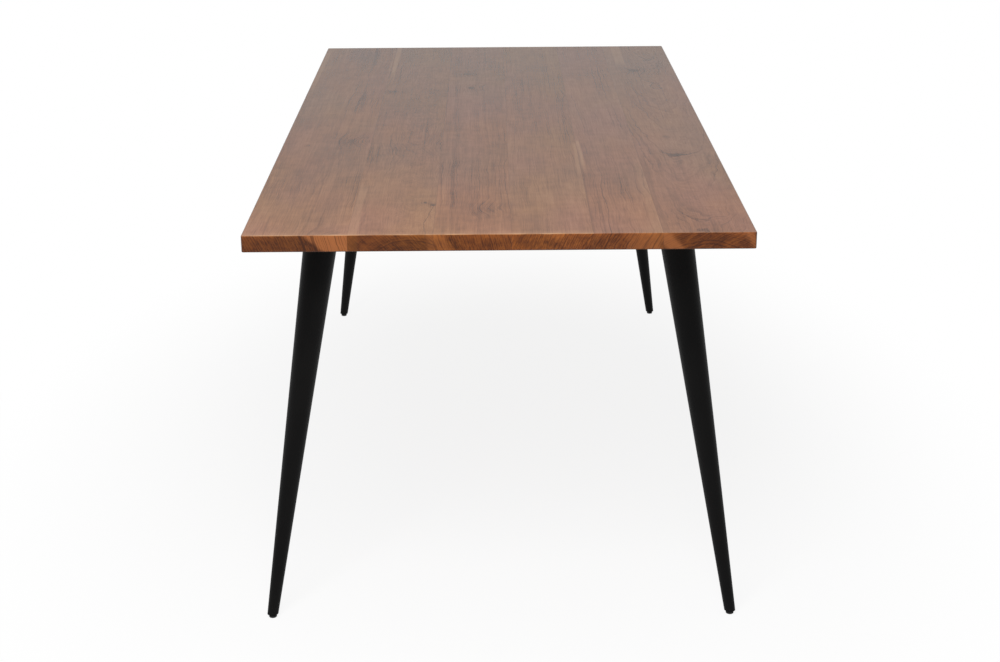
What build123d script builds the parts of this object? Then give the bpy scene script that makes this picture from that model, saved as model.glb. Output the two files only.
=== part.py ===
from build123d import *

import math
import os

# Dining table: a solid top of six edge-glued boards on four splayed, tapered steel legs.
# Millimetres, +Z up. The length runs along Y, the front end is at -Y, left is -X,
# and the origin is on the floor under the middle of the top.

# Top. Boards are counted from the left, as seen from the front end. The glued-up top is trimmed
# to its width, so the two outer boards take what the inner four leave.
TOP_WIDTH = 900.0
BOARD_2_WIDTH = 150.0
BOARD_3_WIDTH = 137.0
BOARD_4_WIDTH = 143.0
BOARD_5_WIDTH = 122.0
INNER_BOARDS_SHIFT = 11.0
TOP_LENGTH = 1800.0
TOP_THICKNESS = 30.0
TABLE_HEIGHT = 755.0
CORNER_RADIUS = 4.0
EDGE_RADIUS = 1.5

# Dowels across the glue lines
DOWEL_RADIUS = 5.0
DOWEL_LENGTH = 60.0
DOWEL_CLEARANCE = 0.1
DOWEL_END_GAP = 0.8

# Steel channels let into the underside, across the boards, to keep the top flat
CHANNEL_WIDTH = 38.0
CHANNEL_DEPTH = 12.0
CHANNEL_WALL = 2.5
CHANNEL_SIDE_MARGIN = 100.0
CHANNEL_SPACING = 480.0
CHANNEL_CLEARANCE = 0.3
CHANNEL_END_GAP = 2.0

# Pan-head wood screws of the channels. All but the middle one sit in slots, so the wood can move.
SCREWS_PER_CHANNEL = 5
SCREW_RADIUS = 2.5
SCREW_REACH = 12.0
SCREW_HEAD_RADIUS = 4.75
SCREW_HEAD_HEIGHT = 3.0
SCREW_HEAD_ROUND = 1.4
SCREW_END_MARGIN = 40.0
SCREW_HOLE_CLEARANCE = 0.4
SCREW_SLOT_PLAY = 6.0

# Leg tubes: right cones rolled from sheet, cut level at both ends
LEG_TOP_RADIUS = 32.0
LEG_FOOT_RADIUS = 10.3
LEG_WALL = 2.0
LEG_TOP_INSET_X = 127.0
LEG_TOP_INSET_Y = 174.0
LEG_FOOT_INSET_X = 18.0
LEG_FOOT_INSET_Y = 21.0

# Square plates welded on the legs, bolted up into threaded inserts in the boards
PLATE_SIZE = 120.0
PLATE_THICKNESS = 5.0
PLATE_CORNER_RADIUS = 10.0
PLATE_BOLT_MARGIN = 15.0
PLATE_HOLE_CLEARANCE = 0.5

# Button-head bolts, M8, with plain washers
BOLT_RADIUS = 4.0
BOLT_GRIP = 13.4
BOLT_HEAD_RADIUS = 7.0
BOLT_HEAD_HEIGHT = 4.4
BOLT_HEAD_ROUND = 3.0
BOLT_SOCKET_WIDTH = 5.0
BOLT_SOCKET_DEPTH = 2.6
WASHER_RADIUS = 8.0
WASHER_THICKNESS = 1.6
WASHER_CLEARANCE = 0.2
INSERT_RADIUS = 6.0
INSERT_LENGTH = 15.0
INSERT_CLEARANCE = 0.05
INSERT_HOLE_SPARE = 4.0
THREAD_CLEARANCE = 0.05

# Levelling feet: an M6 screw with a hexagonal collar, its head captive in a nylon pad
PLUG_HEIGHT = 16.0
PLUG_CLEARANCE = 0.1
FOOT_SCREW_RADIUS = 3.0
FOOT_SCREW_REACH = 15.0
COLLAR_WIDTH = 10.0
COLLAR_HEIGHT = 2.2
COLLAR_GAP = 0.3
PAD_RADIUS = 7.4
PAD_HEIGHT = 4.5
PAD_FLOOR = 1.2
PAD_LOWER_ROUND = 1.4
PAD_UPPER_ROUND = 0.4
PIVOT_HEAD_RADIUS = 4.6
PIVOT_HEAD_HEIGHT = 1.5
PIVOT_CLEARANCE = 0.2

# Two places nearer to each other than this are the same
SAME_PLACE = 0.01

# Levels, and the edges and glue lines of the boards
inner_widths = [BOARD_2_WIDTH, BOARD_3_WIDTH, BOARD_4_WIDTH, BOARD_5_WIDTH]
half_width = TOP_WIDTH / 2
half_length = TOP_LENGTH / 2
underside = TABLE_HEIGHT - TOP_THICKNESS
mid_thickness = underside + TOP_THICKNESS / 2
plate_underside = underside - PLATE_THICKNESS
leg_end = PAD_HEIGHT + COLLAR_GAP + COLLAR_HEIGHT
first_glue_line = INNER_BOARDS_SHIFT - sum(inner_widths) / 2
glue_lines = [first_glue_line + sum(inner_widths[:count]) for count in range(len(inner_widths) + 1)]
board_lines = [-half_width, *glue_lines, half_width]

# Places of the channels and of their screws
channel_rows = [-CHANNEL_SPACING, 0, CHANNEL_SPACING]
channel_length = TOP_WIDTH - 2 * CHANNEL_SIDE_MARGIN
channel_ceiling = underside + CHANNEL_DEPTH
screw_span = channel_length - 2 * SCREW_END_MARGIN
screw_columns = [
    screw_span * (number / (SCREWS_PER_CHANNEL - 1) - 0.5) for number in range(SCREWS_PER_CHANNEL)
]
middle_columns = [x for x in screw_columns if abs(x) < SAME_PLACE]
slotted_columns = [x for x in screw_columns if x not in middle_columns]

# Places of the legs, as the side of the table that each stands on, and of their bolts
LEG_CORNERS = {
    "front_left": (-1, -1),
    "front_right": (1, -1),
    "rear_left": (-1, 1),
    "rear_right": (1, 1),
}
leg_top_x = half_width - LEG_TOP_INSET_X
leg_top_y = half_length - LEG_TOP_INSET_Y
leg_foot_x = half_width - LEG_FOOT_INSET_X
leg_foot_y = half_length - LEG_FOOT_INSET_Y
bolt_offset = PLATE_SIZE / 2 - PLATE_BOLT_MARGIN
bolt_points = [
    (side_x * leg_top_x + step_x * bolt_offset, side_y * leg_top_y + step_y * bolt_offset)
    for side_x, side_y in LEG_CORNERS.values()
    for step_x in (-1, 1)
    for step_y in (-1, 1)
]

# A leg's cone follows its axis and runs on past both ends, where level cuts trim it
leg_axis_length = math.dist((leg_foot_x, leg_foot_y, leg_end), (leg_top_x, leg_top_y, underside))
leg_taper = (LEG_TOP_RADIUS - LEG_FOOT_RADIUS) / leg_axis_length
leg_foot_overrun = LEG_FOOT_RADIUS
leg_top_overrun = LEG_TOP_RADIUS

# Dowels lie midway between the rows of channels and bolts, clear of both
fixing_rows = [0, CHANNEL_SPACING, leg_top_y - bolt_offset, leg_top_y + bolt_offset, half_length]
dowel_steps = [(near + far) / 2 for near, far in zip(fixing_rows, fixing_rows[1:])]
dowel_rows = [side * step for step in dowel_steps for side in (-1, 1)]


def save(builder, name):
    builder.part.label = name
    export_step(builder.part, f"parts/{name}.step")


def top_board(left, right):
    """One board with its eased outer edges, the channel grooves and every hole that reaches it."""
    with BuildPart() as board:
        with BuildSketch(Plane(((left + right) / 2, 0, underside))):
            Rectangle(right - left, TOP_LENGTH)
        extrude(amount=TOP_THICKNESS)
        upright = board.edges().filter_by(Axis.Z)
        corners = [edge for edge in upright if abs(abs(edge.center().X) - half_width) < SAME_PLACE]
        if corners:
            fillet(corners, CORNER_RADIUS)
        levels = board.edges().group_by(Axis.Z)
        seams = board.edges().filter_by(Axis.Y).filter_by(
            lambda edge: any(abs(edge.center().X - line) < SAME_PLACE for line in glue_lines)
        )
        fillet([edge for edge in levels[0] + levels[-1] if edge not in seams], EDGE_RADIUS)

        with BuildSketch(Plane.XY.offset(underside)):
            with Locations(*[(0, row) for row in channel_rows]):
                Rectangle(channel_length + 2 * CHANNEL_END_GAP, CHANNEL_WIDTH + 2 * CHANNEL_CLEARANCE)
        extrude(amount=CHANNEL_DEPTH, mode=Mode.SUBTRACT)
        with BuildSketch(Plane.XY.offset(channel_ceiling)):
            with Locations(*[(x, row) for row in channel_rows for x in screw_columns]):
                Circle(SCREW_RADIUS + THREAD_CLEARANCE)
        extrude(amount=SCREW_REACH, mode=Mode.SUBTRACT)
        with BuildSketch(Plane.XY.offset(underside)):
            with Locations(*bolt_points):
                Circle(INSERT_RADIUS + INSERT_CLEARANCE)
        extrude(amount=INSERT_LENGTH + INSERT_HOLE_SPARE, mode=Mode.SUBTRACT)
        for line in [line for line in glue_lines if line in (left, right)]:
            with BuildSketch(Plane.YZ.offset(line)):
                with Locations(*[(row, mid_thickness) for row in dowel_rows]):
                    Circle(DOWEL_RADIUS + DOWEL_CLEARANCE)
            extrude(amount=DOWEL_LENGTH / 2 + DOWEL_END_GAP, both=True, mode=Mode.SUBTRACT)
    return board


def stiffener_channel(row):
    """Open side down, its web against the ceiling of the groove."""
    with BuildPart() as channel:
        with BuildSketch(Plane.YZ):
            with Locations((row, underside)):
                Rectangle(CHANNEL_WIDTH, CHANNEL_DEPTH, align=(Align.CENTER, Align.MIN))
                Rectangle(
                    CHANNEL_WIDTH - 2 * CHANNEL_WALL,
                    CHANNEL_DEPTH - CHANNEL_WALL,
                    align=(Align.CENTER, Align.MIN),
                    mode=Mode.SUBTRACT,
                )
        extrude(amount=channel_length / 2, both=True)
        hole_radius = SCREW_RADIUS + SCREW_HOLE_CLEARANCE
        with BuildSketch(Plane.XY.offset(channel_ceiling)):
            with Locations(*[(x, row) for x in slotted_columns]):
                SlotOverall(2 * hole_radius + SCREW_SLOT_PLAY, 2 * hole_radius)
            with Locations(*[(x, row) for x in middle_columns]):
                Circle(hole_radius)
        extrude(amount=-CHANNEL_WALL, mode=Mode.SUBTRACT)
    return channel


def leg_plane(side_x, side_y):
    """Across a leg's axis, at the low end of its cone."""
    foot = Vector(side_x * leg_foot_x, side_y * leg_foot_y, leg_end)
    top = Vector(side_x * leg_top_x, side_y * leg_top_y, underside)
    axis = (top - foot).normalized()
    return Plane(origin=foot - axis * leg_foot_overrun, z_dir=axis)


def leg_cone(inset, mode=Mode.ADD):
    """The leg's outer cone, or one inside it by the inset."""
    return Cone(
        bottom_radius=LEG_FOOT_RADIUS - inset - leg_taper * leg_foot_overrun,
        top_radius=LEG_TOP_RADIUS - inset + leg_taper * leg_top_overrun,
        height=leg_foot_overrun + leg_axis_length + leg_top_overrun,
        align=(Align.CENTER, Align.CENTER, Align.MIN),
        mode=mode,
    )


def leg_tube(side_x, side_y):
    with BuildPart(leg_plane(side_x, side_y)) as tube:
        leg_cone(0)
        leg_cone(LEG_WALL, mode=Mode.SUBTRACT)
        split(bisect_by=Plane.XY.offset(plate_underside), keep=Keep.BOTTOM)
        split(bisect_by=Plane.XY.offset(leg_end), keep=Keep.TOP)
    return tube


def foot_plug(side_x, side_y):
    """Tapped plug welded into the low end of a leg, with an upright thread."""
    with BuildPart(leg_plane(side_x, side_y)) as plug:
        leg_cone(LEG_WALL + PLUG_CLEARANCE)
        split(bisect_by=Plane.XY.offset(leg_end + PLUG_HEIGHT), keep=Keep.BOTTOM)
        split(bisect_by=Plane.XY.offset(leg_end), keep=Keep.TOP)
        with BuildSketch(Plane((side_x * leg_foot_x, side_y * leg_foot_y, leg_end))):
            Circle(FOOT_SCREW_RADIUS + THREAD_CLEARANCE)
        extrude(amount=PLUG_HEIGHT, mode=Mode.SUBTRACT)
    return plug


def mounting_plate(side_x, side_y):
    with BuildPart() as plate:
        with BuildSketch(Plane((side_x * leg_top_x, side_y * leg_top_y, plate_underside))):
            RectangleRounded(PLATE_SIZE, PLATE_SIZE, PLATE_CORNER_RADIUS)
            with GridLocations(2 * bolt_offset, 2 * bolt_offset, 2, 2):
                Circle(BOLT_RADIUS + PLATE_HOLE_CLEARANCE, mode=Mode.SUBTRACT)
        extrude(amount=PLATE_THICKNESS)
    return plate


def foot_screw(side_x, side_y):
    """Pivot head in the pad, neck, collar that stops against the plug, and threaded shank."""
    x = side_x * leg_foot_x
    y = side_y * leg_foot_y
    with BuildPart() as screw:
        with BuildSketch(Plane((x, y, PAD_FLOOR))):
            Circle(PIVOT_HEAD_RADIUS)
        extrude(amount=PIVOT_HEAD_HEIGHT)
        with BuildSketch(Plane((x, y, PAD_FLOOR))):
            Circle(FOOT_SCREW_RADIUS)
        extrude(amount=leg_end + FOOT_SCREW_REACH - PAD_FLOOR)
        with BuildSketch(Plane((x, y, leg_end))):
            RegularPolygon(COLLAR_WIDTH / 2, 6, major_radius=False)
        extrude(amount=-COLLAR_HEIGHT)
    return screw


def foot_pad(side_x, side_y):
    with BuildPart() as pad:
        with BuildSketch(Plane((side_x * leg_foot_x, side_y * leg_foot_y, 0))):
            Circle(PAD_RADIUS)
        extrude(amount=PAD_HEIGHT)
        fillet(pad.edges().group_by(Axis.Z)[0], PAD_LOWER_ROUND)
        fillet(pad.edges().group_by(Axis.Z)[-1], PAD_UPPER_ROUND)
        with BuildSketch(Plane((side_x * leg_foot_x, side_y * leg_foot_y, PAD_FLOOR))):
            Circle(PIVOT_HEAD_RADIUS + PIVOT_CLEARANCE)
        extrude(amount=PIVOT_HEAD_HEIGHT + PIVOT_CLEARANCE, mode=Mode.SUBTRACT)
        with BuildSketch(Plane((side_x * leg_foot_x, side_y * leg_foot_y, PAD_FLOOR))):
            Circle(FOOT_SCREW_RADIUS + PIVOT_CLEARANCE)
        extrude(amount=PAD_HEIGHT - PAD_FLOOR, mode=Mode.SUBTRACT)
    return pad


os.makedirs("parts", exist_ok=True)

for number, (left, right) in enumerate(zip(board_lines, board_lines[1:]), start=1):
    save(top_board(left, right), f"top_board_{number}")

for place, row in zip(("front", "middle", "rear"), channel_rows):
    save(stiffener_channel(row), f"stiffener_channel_{place}")

for corner, (side_x, side_y) in LEG_CORNERS.items():
    save(leg_tube(side_x, side_y), f"leg_tube_{corner}")
    save(mounting_plate(side_x, side_y), f"mounting_plate_{corner}")
    save(foot_plug(side_x, side_y), f"foot_plug_{corner}")
    save(foot_screw(side_x, side_y), f"foot_screw_{corner}")
    save(foot_pad(side_x, side_y), f"foot_pad_{corner}")

with BuildPart() as dowels:
    for line in glue_lines:
        with BuildSketch(Plane.YZ.offset(line)):
            with Locations(*[(row, mid_thickness) for row in dowel_rows]):
                Circle(DOWEL_RADIUS)
        extrude(amount=DOWEL_LENGTH / 2, both=True)
save(dowels, "board_dowels")

with BuildPart() as screws:
    screw_points = [(x, row) for row in channel_rows for x in screw_columns]
    web_underside = channel_ceiling - CHANNEL_WALL
    with BuildSketch(Plane.XY.offset(web_underside)):
        with Locations(*screw_points):
            Circle(SCREW_HEAD_RADIUS)
    extrude(amount=-SCREW_HEAD_HEIGHT)
    fillet(screws.edges().group_by(Axis.Z)[0], SCREW_HEAD_ROUND)
    with BuildSketch(Plane.XY.offset(web_underside)):
        with Locations(*screw_points):
            Circle(SCREW_RADIUS)
    extrude(amount=CHANNEL_WALL + SCREW_REACH)
save(screws, "channel_screws")

with BuildPart() as inserts:
    with BuildSketch(Plane.XY.offset(underside)):
        with Locations(*bolt_points):
            Circle(INSERT_RADIUS)
            Circle(BOLT_RADIUS + THREAD_CLEARANCE, mode=Mode.SUBTRACT)
    extrude(amount=INSERT_LENGTH)
save(inserts, "threaded_inserts")

with BuildPart() as washers:
    with BuildSketch(Plane.XY.offset(plate_underside)):
        with Locations(*bolt_points):
            Circle(WASHER_RADIUS)
            Circle(BOLT_RADIUS + WASHER_CLEARANCE, mode=Mode.SUBTRACT)
    extrude(amount=-WASHER_THICKNESS)
save(washers, "leg_washers")

with BuildPart() as bolts:
    bolt_seat = plate_underside - WASHER_THICKNESS
    with BuildSketch(Plane.XY.offset(bolt_seat)):
        with Locations(*bolt_points):
            Circle(BOLT_HEAD_RADIUS)
    extrude(amount=-BOLT_HEAD_HEIGHT)
    fillet(bolts.edges().group_by(Axis.Z)[0], BOLT_HEAD_ROUND)
    with BuildSketch(Plane.XY.offset(bolt_seat)):
        with Locations(*bolt_points):
            Circle(BOLT_RADIUS)
    extrude(amount=WASHER_THICKNESS + PLATE_THICKNESS + BOLT_GRIP)
    with BuildSketch(Plane.XY.offset(bolt_seat - BOLT_HEAD_HEIGHT)):
        with Locations(*bolt_points):
            RegularPolygon(BOLT_SOCKET_WIDTH / 2, 6, major_radius=False)
    extrude(amount=BOLT_SOCKET_DEPTH, mode=Mode.SUBTRACT)
save(bolts, "leg_bolts")
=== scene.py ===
import math
from collections import namedtuple
from types import SimpleNamespace
import bpy
from mathutils import Matrix, Vector


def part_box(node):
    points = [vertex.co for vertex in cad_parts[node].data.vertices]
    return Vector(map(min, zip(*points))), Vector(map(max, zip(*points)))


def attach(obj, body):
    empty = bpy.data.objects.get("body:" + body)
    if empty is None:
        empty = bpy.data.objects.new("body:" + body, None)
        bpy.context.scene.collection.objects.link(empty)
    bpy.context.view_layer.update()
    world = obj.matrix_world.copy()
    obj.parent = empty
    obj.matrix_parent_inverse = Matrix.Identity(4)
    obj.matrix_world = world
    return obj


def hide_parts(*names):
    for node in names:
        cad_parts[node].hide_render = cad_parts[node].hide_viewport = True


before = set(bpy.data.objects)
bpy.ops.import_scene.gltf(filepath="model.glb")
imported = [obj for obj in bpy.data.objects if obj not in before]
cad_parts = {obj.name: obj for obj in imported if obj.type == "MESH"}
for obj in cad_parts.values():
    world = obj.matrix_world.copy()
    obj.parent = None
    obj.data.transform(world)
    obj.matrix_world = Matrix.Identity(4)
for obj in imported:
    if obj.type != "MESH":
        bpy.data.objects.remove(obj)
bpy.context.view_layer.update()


# Top boards: six solid hardwood boards, planed, glued edge to edge and sanded flush.
# Each is cut from its own log, so the rings, streaks and knots change at every glue line.
# They are stained brown and finished with a thin satin lacquer.
MM = 0.001
TOP_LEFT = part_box("top_board_1")[0].x
TOP_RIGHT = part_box("top_board_6")[1].x
TOP_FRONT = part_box("top_board_1")[0].y
TOP_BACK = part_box("top_board_1")[1].y
TOP_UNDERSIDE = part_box("top_board_1")[0].z
TOP_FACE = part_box("top_board_1")[1].z
TOP_MIDDLE = (TOP_UNDERSIDE + TOP_FACE) / 2
HEART_DARK = (0.105, 0.042, 0.022)
HEART_BROWN = (0.268, 0.122, 0.060)
HEART_LIGHT = (0.400, 0.205, 0.105)
SAPWOOD = (0.520, 0.290, 0.150)
KNOT_BROWN = (0.050, 0.022, 0.014)
COOL_TINT = (0.98, 0.97, 1.12)
WARM_TINT = (1.04, 1.01, 0.92)
GREEN_TINT = (0.98, 1.03, 0.99)
RED_TINT = (1.03, 0.98, 1.02)
END_STAIN = (0.530, 0.335, 0.125)
END_SAPWOOD = (0.400, 0.138, 0.044)
# Painted light: how much lighter the end faces are painted towards their top edge.
END_PAINTED_TOP_LIGHT = 1.42
LOG_STEP = Vector((1.0, 3.1, 1.7))
KNOT_REACH = 4.5
CRACK_DEPTH = 11 * MM
LACQUER_ROUGHNESS = 0.255
LACQUER_SHINE = 0.32
GRAIN_BUMP = 0.05
GRAIN_DEPTH = 0.05 * MM

# Marks in the wood, with all lengths in millimetres and all places from the top's front left corner.
Knot = namedtuple("Knot", "from_left from_front radius push darkness")
Streak = namedtuple("Streak", "left right front back strength colour")
EndPatch = namedtuple("EndPatch", "left right lean strength")
Crack = namedtuple("Crack", "start_left start_front end_left end_front half_width")


def across_top(from_left):
    """Place across the table, from the millimetres from its left edge."""
    return TOP_LEFT + from_left * MM


def along_top(from_front):
    """Place along the table, from the millimetres from its front end."""
    return TOP_FRONT + from_front * MM


def add_node(tree, kind, *inputs, **settings):
    """Adds a shader node. An input that is a socket is linked, and any other is set."""
    made = tree.nodes.new("ShaderNode" + kind)
    for name, value in settings.items():
        setattr(made, name, value)
    for socket, value in zip(made.inputs, inputs):
        if isinstance(value, bpy.types.NodeSocket):
            tree.links.new(value, socket)
        elif value is not None:
            socket.default_value = value
    return made


def maths(tree, operation, *inputs):
    return add_node(tree, "Math", *inputs, operation=operation).outputs[0]


def times(tree, first, *others):
    """Product of all the values."""
    for other in others:
        first = maths(tree, "MULTIPLY", first, other)
    return first


def highest(tree, first, *others):
    """Highest of all the values."""
    for other in others:
        first = maths(tree, "MAXIMUM", first, other)
    return first


def layered(tree, base, *layers):
    """Base with each layer added to it at its own weight."""
    for layer, weight in layers:
        base = maths(tree, "MULTIPLY_ADD", layer, weight, base)
    return base


def vector(tree, operation, *inputs):
    return add_node(tree, "VectorMath", *inputs, operation=operation).outputs[0]


def measure(tree, operation, *inputs):
    """A vector operation that gives a number, such as a length."""
    return add_node(tree, "VectorMath", *inputs, operation=operation).outputs["Value"]


def join_axes(tree, x, y, z):
    return add_node(tree, "CombineXYZ", x, y, z).outputs[0]


def noise(tree, place, scales, detail=2.0, roughness=0.5):
    """Cloudy noise round zero, from about -0.5 to 0.5, with so many cells a metre along each axis."""
    made = add_node(tree, "TexNoise", vector(tree, "MULTIPLY", place, scales))
    made.inputs["Scale"].default_value = 1.0
    made.inputs["Detail"].default_value = detail
    made.inputs["Roughness"].default_value = roughness
    return maths(tree, "SUBTRACT", made.outputs["Fac"], 0.5)


def fade(tree, value, start, end, low=0.0, high=1.0):
    """Smooth step from low at start to high at end."""
    made = add_node(tree, "MapRange", value, start, end, low, high, interpolation_type="SMOOTHSTEP")
    return made.outputs[0]


def between(tree, value, low, high, soft):
    """One between low and high, with edges this soft."""
    return times(tree, fade(tree, value, low - soft, low + soft), fade(tree, value, high + soft, high - soft))


def mix_colour(tree, factor, first, second, blend="MIX"):
    """Mixes two colours, each a socket or red, green and blue."""
    made = add_node(tree, "Mix", data_type="RGBA", blend_type=blend)
    for socket, value in ((made.inputs[0], factor), (made.inputs[6], first), (made.inputs[7], second)):
        if isinstance(value, bpy.types.NodeSocket):
            tree.links.new(value, socket)
        elif isinstance(value, tuple):
            socket.default_value = (*value, 1.0)
        else:
            socket.default_value = value
    return made.outputs[2]


def ramp(tree, value, *stops):
    """Colour that runs through the stops, each a position and a colour."""
    made = add_node(tree, "ValToRGB", value)
    elements = made.color_ramp.elements
    while len(elements) < len(stops):
        elements.new(0.5)
    for element, (position, colour) in zip(elements, stops):
        element.position = position
        element.color = (*colour, 1.0)
    return made.outputs[0]


def new_material(name):
    material = bpy.data.materials.new(name)
    material.use_nodes = True
    tree = material.node_tree
    return material, tree, tree.nodes["Principled BSDF"]


def add_bump(tree, shader, height, strength, distance):
    bump = add_node(tree, "Bump")
    bump.inputs["Strength"].default_value = strength
    bump.inputs["Distance"].default_value = distance
    tree.links.new(height, bump.inputs["Height"])
    tree.links.new(bump.outputs["Normal"], shader.inputs["Normal"])


def dress(node_name, material):
    """Gives a solid of the frame its material."""
    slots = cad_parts[node_name].data.materials
    slots.clear()
    slots.append(material)


def new_wood(node_name, seed):
    """What all the layers of a board's wood read: the place, the way it faces, and noise from its own log."""
    material, tree, shader = new_material("wood_of_" + node_name)
    texture = add_node(tree, "TexCoord")
    place = texture.outputs["Object"]
    x, y, z = add_node(tree, "SeparateXYZ", place).outputs
    facing = add_node(tree, "SeparateXYZ", texture.outputs["Normal"]).outputs
    in_log = vector(tree, "ADD", place, seed * LOG_STEP)
    return SimpleNamespace(
        material=material, tree=tree, shader=shader, seed=seed, place=place, in_log=in_log, x=x, y=y, z=z,
        end_grain=fade(tree, maths(tree, "ABSOLUTE", facing[1]), 0.3, 0.75),
        underside=fade(tree, facing[2], -0.5, -0.9),
        blotches=noise(tree, in_log, (14.0, 4.0, 14.0), 3),
        fibres=noise(tree, in_log, (380.0, 14.0, 380.0), 2, 0.6),
        ragged=noise(tree, in_log, (70.0, 4.0, 70.0), 3))


def from_pith(wood, pith, lean):
    """Distance from the pith of the log, a line that leans and wanders along the board."""
    tree = wood.tree
    pith_x = layered(tree, across_top(pith[0]), (wood.y, lean[0]))
    pith_z = layered(tree, pith[1] * MM, (wood.y, lean[1]))
    across = maths(tree, "SUBTRACT", wood.x, pith_x)
    above = maths(tree, "SUBTRACT", wood.z, pith_z)
    across = layered(tree, across, (noise(tree, wood.in_log, (2.5, 0.9, 2.5)), 50 * MM))
    above = layered(tree, above, (noise(tree, wood.in_log, (2.2, 1.3, 2.8)), 30 * MM))
    radius = measure(tree, "LENGTH", join_axes(tree, across, 0.0, above))
    bends = noise(tree, wood.in_log, (9.0, 6.0, 9.0))
    waves = noise(tree, wood.in_log, (28.0, 16.0, 28.0), 3)
    return layered(tree, radius, (bends, 20 * MM), (waves, 8 * MM))


def grow_knots(wood, radius, knots):
    """Pushes the rings aside round knots. Gives their radius, the dark hearts and the shade round them."""
    tree = wood.tree
    heart = 0.0
    halo = 0.0
    swirl = noise(tree, wood.in_log, (75.0, 40.0, 75.0), 4, 0.6)
    long_grain = layered(tree, 1.0, (wood.end_grain, -0.85))
    for knot in knots:
        size = knot.radius * MM
        centre = (-across_top(knot.from_left), -along_top(knot.from_front), 0.0)
        offset = vector(tree, "ADD", wood.place, centre)
        distance = measure(tree, "LENGTH", vector(tree, "MULTIPLY", offset, (1 / size, 0.7 / size, 0.0)))
        distance = layered(tree, distance, (swirl, 0.5))
        pushed = fade(tree, distance, KNOT_REACH, 0.0, 0.0, knot.push * MM)
        radius = layered(tree, radius, (pushed, long_grain))
        distance = layered(tree, distance, (swirl, 1.7))
        heart = highest(tree, heart, fade(tree, distance, 1.3, 0.2, 0.0, knot.darkness))
        halo = highest(tree, halo, fade(tree, distance, KNOT_REACH, 0.6))
    return radius, heart, halo


def growth_rings(wood, radius, ring_width, halo):
    """Late wood at the end of each ring, finer lines in the ring, its own tone, and how clear they show."""
    tree = wood.tree
    uneven = noise(tree, join_axes(tree, radius, 0.0, 0.0), (45.0, 1.0, 1.0))
    rings = layered(tree, maths(tree, "DIVIDE", radius, ring_width * MM), (uneven, 6.0))
    phase = maths(tree, "FRACT", rings)
    fine_phase = maths(tree, "FRACT", times(tree, rings, 3.3))
    fine_lines = times(tree, fade(tree, fine_phase, 0.4, 0.9), fade(tree, fine_phase, 1.0, 0.92))
    this_ring = add_node(tree, "TexWhiteNoise", noise_dimensions="1D")
    tree.links.new(maths(tree, "FLOOR", rings), this_ring.inputs["W"])
    ring_tone = maths(tree, "SUBTRACT", this_ring.outputs["Value"], 0.5)
    clear = fade(tree, noise(tree, wood.in_log, (7.0, 3.0, 7.0)), -0.10, 0.16, 0.15, 1.0)
    clear = layered(tree, clear, (wood.end_grain, 0.6), (halo, 0.8))
    late = times(tree, fade(tree, phase, 0.62, 0.92), fade(tree, phase, 1.0, 0.95))
    late = times(tree, late, clear, fade(tree, ring_tone, -0.4, 0.5, 0.4, 1.2))
    return late, fine_lines, ring_tone, clear


def end_marks(wood, saw_slant):
    """Saw marks and mottle, which show on the end grain alone."""
    tree = wood.tree
    along_cut = layered(tree, wood.x, (wood.z, saw_slant))
    saw_marks = noise(tree, join_axes(tree, along_cut, wood.seed, wood.z), (520.0, 1.0, 60.0), 3, 0.6)
    mottle = noise(tree, wood.in_log, (42.0, 5.0, 70.0), 3)
    return times(tree, saw_marks, wood.end_grain), times(tree, mottle, wood.end_grain)


def heartwood(wood, radius, rings, halo, tone, saw_slant):
    """Stained heartwood, whose tone sums up its rings, bands, clouds, ripple, fibres and saw marks."""
    tree = wood.tree
    late, fine_lines, ring_tone, clear = rings
    bands = noise(tree, join_axes(tree, radius, wood.y, 0.0), (30.0, 0.6, 1.0))
    clouds = noise(tree, wood.in_log, (5.0, 1.7, 5.0))
    curl = noise(tree, wood.in_log, (45.0, 14.0, 45.0))
    ripple = noise(tree, wood.in_log, (34.0, 46.0, 34.0), 3)
    long_fibres = noise(tree, wood.in_log, (110.0, 4.0, 110.0), 3, 0.55)
    vessels = fade(tree, noise(tree, wood.in_log, (170.0, 1.9, 170.0), 2, 0.55), 0.07, 0.19)
    saw_marks, mottle = end_marks(wood, saw_slant)
    value = layered(
        tree, tone, (late, -0.28), (times(tree, ring_tone, clear), -0.07), (fine_lines, -0.10), (halo, -0.12),
        (bands, 0.24), (clouds, 0.34), (wood.blotches, 0.42), (curl, 0.24), (ripple, 0.28),
        (long_fibres, 0.30), (wood.fibres, 0.42), (times(tree, vessels, clear), -0.18), (saw_marks, 2.0),
        (mottle, 1.0), (times(tree, late, wood.end_grain), -0.25))
    colour = ramp(tree, value, (0.05, HEART_DARK), (0.5, HEART_BROWN), (0.95, HEART_LIGHT))
    warmth = fade(tree, noise(tree, wood.in_log, (6.0, 2.4, 6.0), 3), -0.2, 0.2)
    colour = mix_colour(tree, 1.0, colour, mix_colour(tree, warmth, COOL_TINT, WARM_TINT), "MULTIPLY")
    redness = fade(tree, noise(tree, wood.in_log, (4.0, 1.6, 4.0), 2), -0.15, 0.15)
    colour = mix_colour(tree, 1.0, colour, mix_colour(tree, redness, GREEN_TINT, RED_TINT), "MULTIPLY")
    mineral = fade(tree, noise(tree, wood.in_log, (70.0, 1.1, 70.0), 3, 0.55), 0.17, 0.30, 0.0, 0.15)
    return mix_colour(tree, mineral, colour, HEART_DARK)


def add_streaks(wood, colour, streaks):
    """Pale sapwood or dark heartwood in runs along the grain, which fade out at both ends."""
    tree = wood.tree
    side = layered(tree, wood.x, (wood.ragged, 12 * MM))
    for streak in streaks:
        front = along_top(streak.front)
        back = along_top(streak.back)
        run = back - front
        shown = times(
            tree, between(tree, side, across_top(streak.left), across_top(streak.right), 2.5 * MM),
            fade(tree, wood.y, front, front + 0.35 * run), fade(tree, wood.y, back, back - 0.15 * run))
        colour = mix_colour(tree, times(tree, shown, streak.strength), colour, streak.colour)
    return colour


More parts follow.
